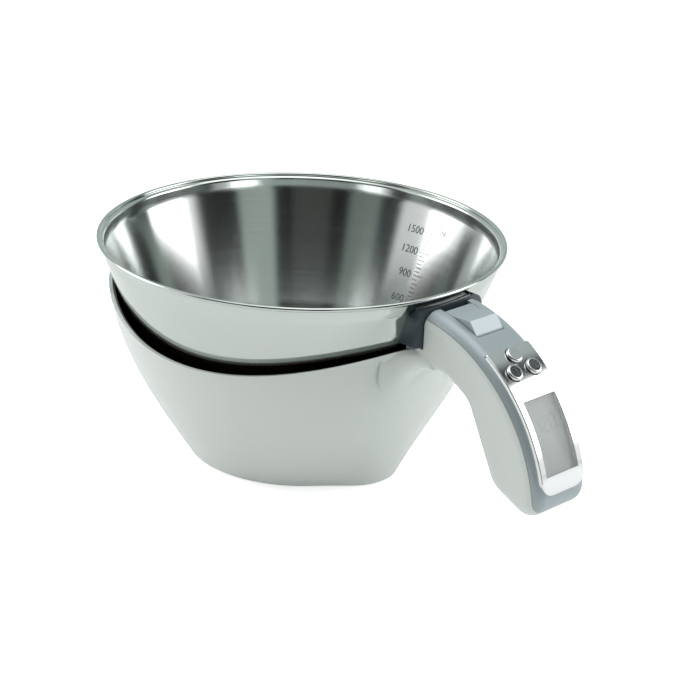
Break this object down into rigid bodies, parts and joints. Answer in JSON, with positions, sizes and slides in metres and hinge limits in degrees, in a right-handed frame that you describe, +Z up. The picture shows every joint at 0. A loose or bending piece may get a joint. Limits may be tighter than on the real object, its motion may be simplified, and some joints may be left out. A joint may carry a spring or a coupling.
{
  "type": "kitchen scale",
  "caption": "Kitchen scale: steel bowl with volume marks on a deep cradle with a curved handle that holds a display, keys and a bowl release tab.",
  "frame": {"origin": "on the bowl's axis, in the plane of the table that the feet stand on", "axes": "+Z up along the bowl's axis, +X towards the handle, the object is mirror symmetric about y = 0 apart from printing"},
  "size_m": [0.2864, 0.208, 0.115],
  "materials": {
    "cradle_white": "gloss moulding",
    "liner_brown": "satin",
    "base_grey": "satin",
    "foot_rubber": "matte",
    "screw_steel": "plated",
    "cover_blue_grey": "satin",
    "panel_chrome": "mirror",
    "window_clear": "gloss",
    "display_grey": "satin",
    "inner_white": "satin",
    "contact_rubber": "matte",
    "board_green": "satin",
    "chip_black": "matte",
    "cell_aluminium": "milled",
    "cell_steel": "satin",
    "contact_brass": "plated",
    "bowl_steel": "brushed inside, polished outside",
    "bracket_dark": "satin",
    "key_chrome": "mirror",
    "door_grey": "gloss"
  },
  "bodies": {
    "cradle": {"cradle_body": "cradle_white", "cradle_liner": "liner_brown", "base_plate": "base_grey", "base_feet": "foot_rubber", "base_screws": "screw_steel", "handle_cover": "cover_blue_grey", "cover_screws": "screw_steel", "control_panel": "panel_chrome", "display_window": "window_clear", "display_glass": "display_grey", "display_frame": "inner_white", "contact_strips": "contact_rubber", "display_board": "board_green", "processor_chip": "chip_black", "key_board": "board_green", "key_switches": "chip_black", "load_cell": "cell_aluminium", "load_cell_screws": "screw_steel", "bowl_receiver": "bracket_dark", "battery_tray": "inner_white", "coin_cell": "cell_steel", "battery_contacts": "contact_brass", "release_spring": "screw_steel"},
    "bowl": {"steel_bowl": "bowl_steel", "bowl_bracket": "bracket_dark", "bracket_screws": "screw_steel"},
    "release_tab": {"release_tab": "cover_blue_grey"},
    "power_key": {"power_key": "key_chrome"},
    "tare_key": {"tare_key": "key_chrome"},
    "unit_key": {"unit_key": "key_chrome"},
    "battery_door": {"battery_door": "door_grey"}
  },
  "joints": [
    {"name": "bowl_lift_off", "type": "slide", "parent": "cradle", "child": "bowl", "axis": [0, 0, 1], "range_m": [0, 0.12]},
    {"name": "release_push", "type": "slide", "parent": "cradle", "child": "release_tab", "axis": [-0.9617, 0, 0.274], "range_m": [0, 0.0014], "stiffness_N_per_m": 400, "springref_m": -0.002, "deforming": ["release_spring"]},
    {"name": "power_key_press", "type": "slide", "parent": "cradle", "child": "power_key", "axis": [-0.5592, 0, -0.829], "range_m": [0, 0.0008], "stiffness_N_per_m": 900, "springref_m": -0.001},
    {"name": "tare_key_press", "type": "slide", "parent": "cradle", "child": "tare_key", "axis": [-0.6347, 0, -0.7727], "range_m": [0, 0.0008], "stiffness_N_per_m": 900, "springref_m": -0.001},
    {"name": "unit_key_press", "type": "slide", "parent": "cradle", "child": "unit_key", "axis": [-0.6347, 0, -0.7727], "range_m": [0, 0.0008], "stiffness_N_per_m": 900, "springref_m": -0.001},
    {"name": "battery_door_lift", "type": "slide", "parent": "cradle", "child": "battery_door", "axis": [-0.8863, 0, -0.4631], "range_m": [0, 0.02]}
  ]
}
